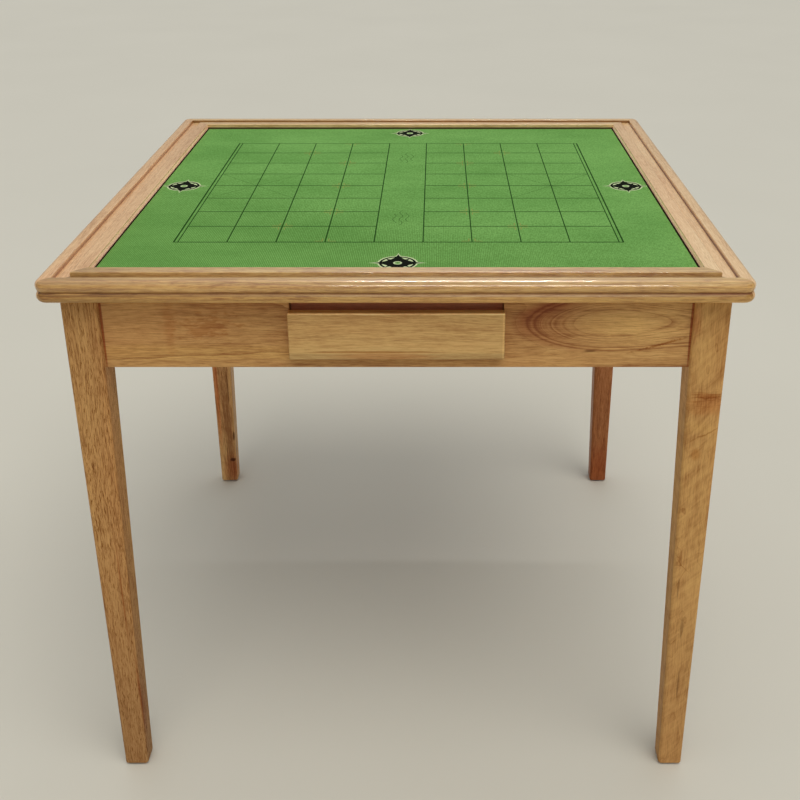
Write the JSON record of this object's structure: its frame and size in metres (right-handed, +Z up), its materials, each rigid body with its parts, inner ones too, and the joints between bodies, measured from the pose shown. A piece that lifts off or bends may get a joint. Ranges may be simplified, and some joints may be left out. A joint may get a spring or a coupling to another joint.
{
  "type": "mahjong table with drawers",
  "caption": "Square wooden game table with a felt playing board in a raised mitred frame with a chip trough, tapered legs, and a slim drawer in each apron.",
  "frame": {"origin": "on the floor, under the middle of the square top", "axes": "+Z up; -Y is the front side seen in the picture, +X to its right"},
  "size_m": [0.85, 0.85, 0.76],
  "materials": {
    "top_rail_front": "satin clear lacquer",
    "top_rail_right": "satin clear lacquer",
    "top_rail_rear": "satin clear lacquer",
    "top_rail_left": "satin clear lacquer",
    "leg_front_left": "satin clear lacquer",
    "leg_front_right": "satin clear lacquer",
    "leg_rear_right": "satin clear lacquer",
    "leg_rear_left": "satin clear lacquer",
    "apron_front": "satin clear lacquer",
    "apron_right": "satin clear lacquer",
    "apron_rear": "satin clear lacquer",
    "apron_left": "satin clear lacquer",
    "front_drawer_front": "satin clear lacquer",
    "right_drawer_front": "satin clear lacquer",
    "rear_drawer_front": "satin clear lacquer",
    "left_drawer_front": "satin clear lacquer",
    "drawer_box": "matte clear lacquer",
    "drawer_bottom": "thin plywood, unfinished",
    "runner": "planed, unfinished",
    "bearer": "planed, unfinished",
    "brace": "planed, unfinished",
    "spline": "plywood",
    "board_core": "fibreboard",
    "felt": "woven green baize with a printed grid",
    "board_backing": "paper-thin veneer",
    "zinc_steel": "zinc plated",
    "screw_steel": "yellow zinc plated",
    "glide_plastic": "matte"
  },
  "bodies": {
    "table": {"top_rail_front": "top_rail_front", "top_rail_right": "top_rail_right", "top_rail_rear": "top_rail_rear", "top_rail_left": "top_rail_left", "leg_front_left": "leg_front_left", "leg_front_right": "leg_front_right", "leg_rear_right": "leg_rear_right", "leg_rear_left": "leg_rear_left", "apron_front": "apron_front", "apron_right": "apron_right", "apron_rear": "apron_rear", "apron_left": "apron_left", "front_runner_left": "runner", "front_runner_right": "runner", "right_runner_left": "runner", "right_runner_right": "runner", "rear_runner_left": "runner", "rear_runner_right": "runner", "left_runner_left": "runner", "left_runner_right": "runner", "bearer_front": "bearer", "bearer_rear": "bearer", "bearer_left": "bearer", "bearer_right": "bearer", "corner_brace_front_left": "brace", "corner_brace_front_right": "brace", "corner_brace_rear_right": "brace", "corner_brace_rear_left": "brace", "mitre_splines": "spline", "foot_glides": "glide_plastic", "hanger_bolts": "zinc_steel", "hanger_nuts": "zinc_steel", "brace_screws": "screw_steel", "runner_screws": "screw_steel", "top_clips": "zinc_steel", "top_clip_screws": "screw_steel"},
    "playing_board": {"board_core": "board_core", "board_felt": "felt", "board_backing": "board_backing"},
    "front_drawer": {"front_drawer_front": "front_drawer_front", "front_drawer_side_left": "drawer_box", "front_drawer_side_right": "drawer_box", "front_drawer_back": "drawer_box", "front_drawer_bottom": "drawer_bottom"},
    "right_drawer": {"right_drawer_front": "right_drawer_front", "right_drawer_side_left": "drawer_box", "right_drawer_side_right": "drawer_box", "right_drawer_back": "drawer_box", "right_drawer_bottom": "drawer_bottom"},
    "rear_drawer": {"rear_drawer_front": "rear_drawer_front", "rear_drawer_side_left": "drawer_box", "rear_drawer_side_right": "drawer_box", "rear_drawer_back": "drawer_box", "rear_drawer_bottom": "drawer_bottom"},
    "left_drawer": {"left_drawer_front": "left_drawer_front", "left_drawer_side_left": "drawer_box", "left_drawer_side_right": "drawer_box", "left_drawer_back": "drawer_box", "left_drawer_bottom": "drawer_bottom"}
  },
  "joints": [
    {"name": "front_drawer_slide", "type": "slide", "parent": "table", "child": "front_drawer", "axis": [0, -1, 0], "range_m": [0, 0.16]},
    {"name": "right_drawer_slide", "type": "slide", "parent": "table", "child": "right_drawer", "axis": [1, 0, 0], "range_m": [0, 0.16]},
    {"name": "rear_drawer_slide", "type": "slide", "parent": "table", "child": "rear_drawer", "axis": [0, 1, 0], "range_m": [0, 0.16]},
    {"name": "left_drawer_slide", "type": "slide", "parent": "table", "child": "left_drawer", "axis": [-1, 0, 0], "range_m": [0, 0.16]},
    {"name": "playing_board_lift", "type": "slide", "parent": "table", "child": "playing_board", "axis": [0, 0, 1], "range_m": [0, 0.1]}
  ]
}
